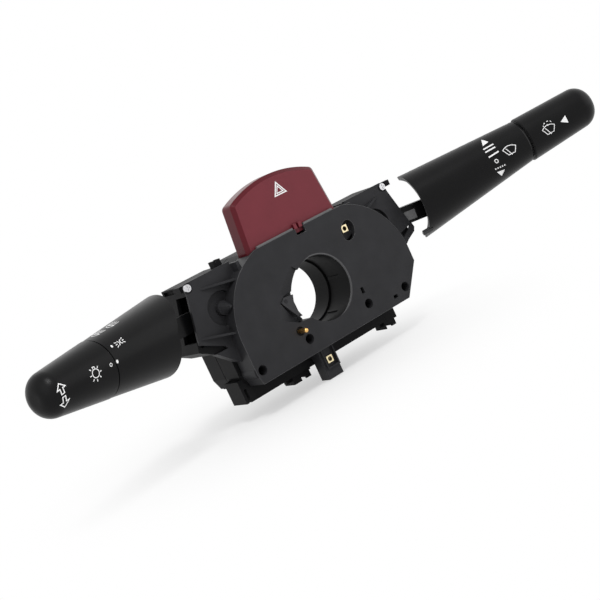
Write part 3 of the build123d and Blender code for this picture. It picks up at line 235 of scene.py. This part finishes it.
def stroke(points, width, closed=False):
    """Quads along a line of points, with mitred corners."""
    pts = [Vector(p) for p in points]
    n = len(pts)
    sides = []
    for i in range(n):
        before = pts[i - 1] if closed or i else None
        after = pts[(i + 1) % n] if closed or i < n - 1 else None
        d0 = (pts[i] - before).normalized() if before is not None else None
        d1 = (after - pts[i]).normalized() if after is not None else None
        d0, d1 = d0 or d1, d1 or d0
        n0, n1 = Vector((-d0.y, d0.x)), Vector((-d1.y, d1.x))
        mitre = (n0 + n1).normalized()
        mitre *= width / 2 / max(MITRE_LEAST, mitre.dot(n0))
        sides.append((pts[i] + mitre, pts[i] - mitre))
    quads = []
    for i in range(n if closed else n - 1):
        a, b = sides[i], sides[(i + 1) % n]
        quads.append([a[0], b[0], b[1], a[1]])
    return quads


def ring_points(cx, cy, rx, ry, count=24, first=0.0, last=360.0):
    """Points round an ellipse, or along a part of it."""
    full = abs(last - first) >= 360
    steps = count if full else count + 1
    return [(cx + rx * math.cos(math.radians(first + (last - first) * i / count)),
             cy + ry * math.sin(math.radians(first + (last - first) * i / count)))
            for i in range(steps)]


# Prints in millimetres: lift off the surface, half of the thickness and the widths of lines
LIFT, HALF_THICK = 0.02, 0.05
HAIR, FINE, LINE, MEDIUM, BROAD, DASH, BAR = 0.32, 0.4, 0.45, 0.5, 0.55, 0.9, 0.95
# Edges longer than this are split before a print is wrapped, in this many rounds at most
LONGEST, SPLITS = 1.2, 4


def printed(name, body, place, faces):
    """Thin print on a surface: faces are flat polygons that place() wraps."""
    bm = bmesh.new()
    for points in faces:
        bm.faces.new([bm.verts.new((p[0], p[1], 0)) for p in points])
    bmesh.ops.triangulate(bm, faces=bm.faces[:])
    for _ in range(SPLITS):
        long = [e for e in bm.edges if e.calc_length() > LONGEST]
        if not long:
            break
        bmesh.ops.subdivide_edges(bm, edges=long, cuts=1)
        bmesh.ops.triangulate(bm, faces=[f for f in bm.faces if len(f.verts) > 3])
    base = bm.faces[:]
    made = bmesh.ops.extrude_face_region(bm, geom=base)
    top = {v for v in made["geom"] if isinstance(v, bmesh.types.BMVert)}
    for v in bm.verts:
        v.co = place(v.co.x, v.co.y, HALF_THICK if v in top else -HALF_THICK)
    bmesh.ops.recalc_face_normals(bm, faces=bm.faces[:])
    mesh = bpy.data.meshes.new(name)
    bm.to_mesh(mesh)
    bm.free()
    obj = add(name.replace(" ", "_"), mesh)
    mesh.materials.append(finish["print"])
    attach(obj, body)


# Rounded lip on the rim of the bore, which dies away at the pawl pocket, paler than the plate as a
# painted highlight. The profile holds distances out from the rim and back from the plate, in
# millimetres
LIP_PROFILE = [(0.95, 0.02), (0.6, -0.12), (0.25, -0.17), (-0.03, -0.06), (-0.06, 0.3), (0.01, 0.9)]
BORE_RADIUS, LIP_FIRST, LIP_LAST, LIP_STEPS = 21.0, -82.0, 112.0, 72
LIP_FADE = 8
LIP_CREASE = 60.0
lip_points, lip_faces = [], []
for i in range(LIP_STEPS + 1):
    share = i / LIP_STEPS
    turn = math.radians(LIP_FIRST + (LIP_LAST - LIP_FIRST) * share)
    size = min(1.0, LIP_FADE * share, LIP_FADE * (1 - share))
    for out, depth in LIP_PROFILE:
        radius = BORE_RADIUS + out * size
        point = (radius * math.cos(turn), depth * size, radius * math.sin(turn))
        lip_points.append(Vector(point) * MM)
rows = len(LIP_PROFILE)
for i in range(LIP_STEPS):
    for k in range(rows - 1):
        a = i * rows + k
        lip_faces.append((a, a + 1, a + rows + 1, a + rows))
lip_mesh = bpy.data.meshes.new("bore lip")
lip_mesh.from_pydata(lip_points, [], lip_faces)
lip_mesh.materials.append(finish["edge_highlight_plastic"])
lip = add("bore_lip", lip_mesh)
smooth(lip, LIP_CREASE)
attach(lip, "housing")

# Fine rounded bead along the outline of the plate and round the recess of the upper nut, paler than
# the plate as a painted highlight. Both rims are found by their width: the bore and the screw holes
# are left plain
BEAD_RADIUS, BEAD_ROUNDS = 0.00016, 2
OUTLINE_LEAST = 0.06
RECESS_LEAST, RECESS_MOST = 0.007, 0.03
WELD = 1e-6
FLAT_NORMAL, FLAT_DEPTH = -0.99, 0.0001


def front_rims(mesh):
    """Loops of points round the front face of the plate, from its outline and openings."""
    bm = bmesh.new()
    bm.from_mesh(mesh)
    bmesh.ops.remove_doubles(bm, verts=bm.verts[:], dist=WELD)
    bm.normal_update()

    def in_front(f):
        return f.normal.y < FLAT_NORMAL and abs(f.calc_center_median().y) < FLAT_DEPTH

    rim = [e for e in bm.edges if [in_front(f) for f in e.link_faces].count(True) == 1]
    left = set(rim)
    loops = []
    for edge in rim:
        if edge not in left:
            continue
        left.discard(edge)
        line = [edge.verts[0], edge.verts[1]]
        while True:
            onward = [e for e in line[-1].link_edges if e in left]
            if not onward:
                break
            left.discard(onward[0])
            line.append(onward[0].other_vert(line[-1]))
        loops.append([v.co.copy() for v in line])
    bm.free()
    return loops


def extent(points):
    """Width of a loop from left to right."""
    return max(p.x for p in points) - min(p.x for p in points)


bead_curve = bpy.data.curves.new("plate bead", "CURVE")
bead_curve.dimensions = "3D"
bead_curve.bevel_depth = BEAD_RADIUS
bead_curve.bevel_resolution = BEAD_ROUNDS
for loop in front_rims(nodes["front_housing"].data):
    if extent(loop) > OUTLINE_LEAST or RECESS_LEAST < extent(loop) < RECESS_MOST:
        spline = bead_curve.splines.new("POLY")
        closed = (loop[0] - loop[-1]).length < WELD
        run = loop[:-1] if closed else loop
        spline.points.add(len(run) - 1)
        spline.use_cyclic_u = closed
        for point, co in zip(spline.points, run):
            point.co = (co.x, co.y, co.z, 1.0)
bead_curve.materials.append(finish["edge_highlight_plastic"])
bead = add("plate_bead", bead_curve)
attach(bead, "housing")

# Symbols of the left stalk: arrows, lamp and ring on the knob, dots and lamps on the sleeve
knob = cone_map(LEFT, LEFT_KNOB, LIFT)
sleeve = cone_map(LEFT, LEFT_SLEEVE, LIFT)


def arrow(u, base, tip, half, neck, shoulder):
    """Outline of an arrow that points round the stalk."""
    return [(u - neck, base), (u - neck, shoulder), (u - half, shoulder), (u, tip),
            (u + half, shoulder), (u + neck, shoulder), (u + neck, base)]


printed("turn arrows", "light_knob_body", knob,
        stroke(arrow(142.2, -22.3, -16.6, 2.9, 1.0, -19.5), BROAD, closed=True)
        + stroke(arrow(142.2, -23.9, -29.9, 2.9, 1.0, -26.9), BROAD, closed=True))

# Steps on the left knob, along and round it, for one unit to the right and one unit down
STEP_RIGHT, STEP_DOWN = (-0.5775, -0.3074), (0.1969, -0.3994)


def upright(u, arc, offsets):
    """Points on the left knob from offsets to the right and down, so that a symbol reads level."""
    return [(u + STEP_RIGHT[0] * x + STEP_DOWN[0] * y, arc + STEP_RIGHT[1] * x + STEP_DOWN[1] * y)
            for x, y in offsets]


LAMP = (119.0, -24.5)
RAY_FROM, RAY_TO = 0.84, 1.17
LAMP_RAYS = [(-5.4, -3.7), (-5.0, 3.3), (-2.0, 7.7), (2.0, 7.7), (5.0, 3.7), (5.0, -2.3),
             (2.0, -7.0)]
rays = []
for x, y in LAMP_RAYS:
    ends = [(RAY_FROM * x, RAY_FROM * y), (RAY_TO * x, RAY_TO * y)]
    rays += stroke(upright(*LAMP, ends), MEDIUM)
printed("lamp symbol", "light_knob_body", knob,
        stroke(upright(*LAMP, ring_points(0, 0, 3.6, 5.0)), LINE, closed=True) + rays
        + stroke(upright(*LAMP, [(-2.6, -4.6), (-3.2, -7.0), (-1.1, -7.6), (-0.4, -5.0)]), FINE))
printed("knob ring", "light_knob_body", knob,
        stroke(ring_points(108.0, -26.0, 0.75, 0.85, 16), HAIR, closed=True))
printed("sleeve dots", "left_stalk", sleeve,
        [ring_points(103.2, -26.4, 0.75, 1.0, 16), ring_points(100.5, -18.0, 0.65, 0.85, 16)])


def side_light(u, arc, scale):
    """Two small lamps back to back, each with three rays."""
    faces = []
    for way in (-1, 1):
        bowl = [(u + way * scale * 0.25 + way * scale * 0.55 * (1 - math.cos(math.radians(t))),
                 arc + scale * 0.75 * math.sin(math.radians(t))) for t in range(-90, 91, 15)]
        faces += stroke(bowl, LINE)
        for tilt in (-0.75, 0.0, 0.75):
            faces += stroke([(u + way * scale * 1.1, arc + scale * tilt * 0.8),
                             (u + way * scale * 1.9, arc + scale * tilt * 1.35)], LINE)
    return faces


printed("side light symbol", "left_stalk", sleeve, side_light(94.7, -19.0, 1.7))


def lamp_beam(u, arc, scale, tilt):
    """Half round lamp with four beams."""
    front = u + scale * 1.1
    bowl = ring_points(front, arc, scale * 1.3, scale, 12, -90, 90)
    faces = stroke([(front, arc - scale)] + bowl + [(front, arc + scale)], LINE, closed=True)
    for k in (-0.9, -0.3, 0.3, 0.9):
        faces += stroke([(u + scale * 0.7, arc + scale * k), (u - scale, arc + scale * (k + tilt))],
                        FINE)
    return faces


printed("dipped beam symbol", "left_stalk", sleeve, lamp_beam(93.5, -2.8, 2.3, -0.3))
printed("fog lamp symbol", "left_stalk", sleeve, lamp_beam(82.4, -4.2, 2.3, 0.0))

# Symbols of the right stalk: the wiper steps on the sleeve, the washer on the end button
sleeve = cone_map(RIGHT, RIGHT_SLEEVE, LIFT)
knob = cone_map(RIGHT, RIGHT_KNOB, LIFT)
DASHES, DASH_STEP = 5, 1.75
dashes = []
for k in range(DASHES):
    dashes += stroke([(97.0 + DASH_STEP * k, 32.8), (97.9 + DASH_STEP * k, 32.7)], DASH)
printed("wiper steps", "right_stalk", sleeve,
        [[(101.2, 7.5), (103.5, 12.8), (98.4, 14.2)], [(97.4, 35.2), (103.4, 35.9), (99.9, 39.8)]]
        + stroke([(97.1, 16.9), (105.1, 16.1)], BAR) + stroke([(96.9, 19.5), (104.9, 18.7)], BAR)
        + stroke([(96.9, 23.6), (105.1, 22.4)], BAR)
        + stroke(ring_points(100.3, 27.9, 1.1, 1.25, 18), BROAD, closed=True) + dashes)


def windscreen(u, arc, wide, narrow, high, width):
    """Curved screen with a wiper blade."""
    top = [(u + wide * t / 3, arc - high / 2 - high * 0.42 * (1 - t * t / 9))
           for t in range(-3, 4)]
    foot = [(u + narrow, arc + high / 2), (u - narrow, arc + high / 2 + 0.3)]
    faces = stroke(top + foot, width, closed=True)
    faces += stroke([(u - wide * 0.52, arc - high * 0.62), (u + 0.1, arc + high / 2 + 1.0)], width)
    return faces


printed("wiper symbol", "right_stalk", sleeve, windscreen(112.6, 25.2, 4.9, 2.5, 4.0, MEDIUM))
drops = [(140.4, 21.6, 140.9, 20.9), (141.6, 20.2, 142.6, 19.6), (144.2, 19.4, 145.4, 19.4),
         (146.6, 20.0, 147.1, 20.9)]
printed("washer symbol", "washer_button_body", knob,
        windscreen(143.4, 25.4, 4.7, 2.5, 4.0, LINE)
        + [q for a, b, c, d in drops for q in stroke([(a, b), (c, d)], MEDIUM)]
        + stroke([(143.6, 21.2), (143.7, 22.4)], LINE))
printed("push arrow", "washer_button_body", knob,
        [[(157.6, 21.5), (157.6, 27.0), (152.7, 24.1)]])

# Warning triangle on the hazard button: depth of its face, middle, side and line of each outline
BUTTON_FACE = 2.9
TRI_X, TRI_Z = 2.2, 66.4
OUTER_SIDE, OUTER_LINE = 8.9, 0.75
INNER_SIDE, INNER_LINE = 4.9, 0.6


def triangle(size):
    """Equal-sided triangle round its middle."""
    return [(TRI_X - size * 0.5, TRI_Z - size * 0.289), (TRI_X + size * 0.5, TRI_Z - size * 0.289),
            (TRI_X, TRI_Z + size * 0.577)]


printed("warning triangle", "hazard_button_body", flat_map(BUTTON_FACE, LIFT),
        stroke(triangle(OUTER_SIDE), OUTER_LINE, closed=True)
        + stroke(triangle(INNER_SIDE), INNER_LINE, closed=True))

# Camera at the photographed angle: its place, and the directions right, down and ahead in it
SENSOR_WIDTH, LENS = 36.0, 72.35
NEAREST, FARTHEST = 0.01, 30.0
CAMERA_PLACE = Vector((-0.4058, -0.6235, 0.0964))
VIEW_RIGHT = Vector((0.7428, -0.5246, -0.4159))
VIEW_DOWN = Vector((-0.4185, 0.1209, -0.9001))
VIEW_AHEAD = Vector((0.5225, 0.8427, -0.1297))
camera_data = bpy.data.cameras.new("camera")
camera_data.sensor_width = SENSOR_WIDTH
camera_data.lens = LENS
camera_data.clip_start, camera_data.clip_end = NEAREST, FARTHEST
camera = add("camera", camera_data)
facing = Matrix((VIEW_RIGHT, -VIEW_DOWN, -VIEW_AHEAD)).transposed().to_quaternion()
camera.matrix_world = Matrix.LocRotScale(CAMERA_PLACE, facing, None)
scene.camera = camera

# Floor that is white to the camera and keeps a soft shadow near the object. The white grows from
# its least share near the object to all of it at a distance
FLOOR_REACH, FLOOR_GAP = 6.0, 0.0004
FLOOR_COLOR = (0.97, 0.97, 0.97, 1.0)
SHADOW_X, SHADOW_Y = -0.035, 0.02
WHITE_FROM, WHITE_TO, WHITE_LEAST = 0.02, 0.2, 0.5
floor_mesh = bpy.data.meshes.new("floor")
floor_z = start_low.z - FLOOR_GAP
corners = [(-1, -1), (1, -1), (1, 1), (-1, 1)]
floor_mesh.from_pydata([(x * FLOOR_REACH, y * FLOOR_REACH, floor_z) for x, y in corners], [],
                       [(0, 1, 2, 3)])
floor = add("floor", floor_mesh)
pale = bpy.data.materials.new("floor white")
pale.use_nodes = True
tree = pale.node_tree
matt = tree.nodes["Principled BSDF"]
matt.inputs["Base Color"].default_value = FLOOR_COLOR
matt.inputs["Roughness"].default_value = 1.0
matt.inputs["Specular IOR Level"].default_value = 0.0


def background_ray(tree):
    """1 for rays that show the background: camera, glossy and transmission rays."""
    path = tree.nodes.new("ShaderNodeLightPath")
    first, second = tree.nodes.new("ShaderNodeMath"), tree.nodes.new("ShaderNodeMath")
    first.operation = second.operation = "MAXIMUM"
    tree.links.new(path.outputs["Is Camera Ray"], first.inputs[0])
    tree.links.new(path.outputs["Is Glossy Ray"], first.inputs[1])
    tree.links.new(first.outputs[0], second.inputs[0])
    tree.links.new(path.outputs["Is Transmission Ray"], second.inputs[1])
    return second.outputs[0]


white = tree.nodes.new("ShaderNodeEmission")
spot = tree.nodes.new("ShaderNodeTexCoord")
far = tree.nodes.new("ShaderNodeVectorMath")
far.operation = "DISTANCE"
far.inputs[1].default_value = (SHADOW_X, SHADOW_Y, floor_z)
tree.links.new(spot.outputs["Object"], far.inputs[0])
fade = tree.nodes.new("ShaderNodeMapRange")
fade.interpolation_type = "SMOOTHSTEP"
fade.inputs["From Min"].default_value = WHITE_FROM
fade.inputs["From Max"].default_value = WHITE_TO
fade.inputs["To Min"].default_value = WHITE_LEAST
tree.links.new(far.outputs["Value"], fade.inputs["Value"])
share = tree.nodes.new("ShaderNodeMath")
share.operation = "MULTIPLY"
tree.links.new(fade.outputs["Result"], share.inputs[0])
tree.links.new(background_ray(tree), share.inputs[1])
blend = tree.nodes.new("ShaderNodeMixShader")
tree.links.new(share.outputs[0], blend.inputs["Fac"])
tree.links.new(matt.outputs["BSDF"], blend.inputs[1])
tree.links.new(white.outputs["Emission"], blend.inputs[2])
tree.links.new(blend.outputs["Shader"], tree.nodes["Material Output"].inputs["Surface"])
floor_mesh.materials.append(pale)

# Studio: a surround that lights with less than it shows, and four soft lamps
SURROUND_LIGHT, SURROUND_SHOWN = 0.62, 1.0
LAMPS = [
    ("key", (-0.26, -0.7, 1.16), 0.34, 6.5),
    ("fill", (0.9, -0.7, 0.35), 0.9, 2.0),
    ("side", (-0.9, -0.6, 0.6), 0.9, 1.5),
    ("back", (0.3, 1.1, 0.8), 0.9, 1.0),
]
world = bpy.data.worlds.new("studio")
scene.world = world
world.use_nodes = True
tree = world.node_tree
back = tree.nodes["Background"]
back.inputs["Color"].default_value = (1.0, 1.0, 1.0, 1.0)
strength = tree.nodes.new("ShaderNodeMapRange")
strength.inputs["To Min"].default_value = SURROUND_LIGHT
strength.inputs["To Max"].default_value = SURROUND_SHOWN
tree.links.new(background_ray(tree), strength.inputs["Value"])
tree.links.new(strength.outputs["Result"], back.inputs["Strength"])


def lamp(name, place, size, power):
    """Square soft lamp that faces the object."""
    data = bpy.data.lights.new(name, "AREA")
    data.shape = "SQUARE"
    data.size = size
    data.energy = power
    obj = add(name, data)
    obj.location = place
    obj.rotation_mode = "QUATERNION"
    obj.rotation_quaternion = (-Vector(place)).to_track_quat("-Z", "Y")


for name, place, size, power in LAMPS:
    lamp(name, place, size, power)

scene.view_settings.view_transform = "Standard"
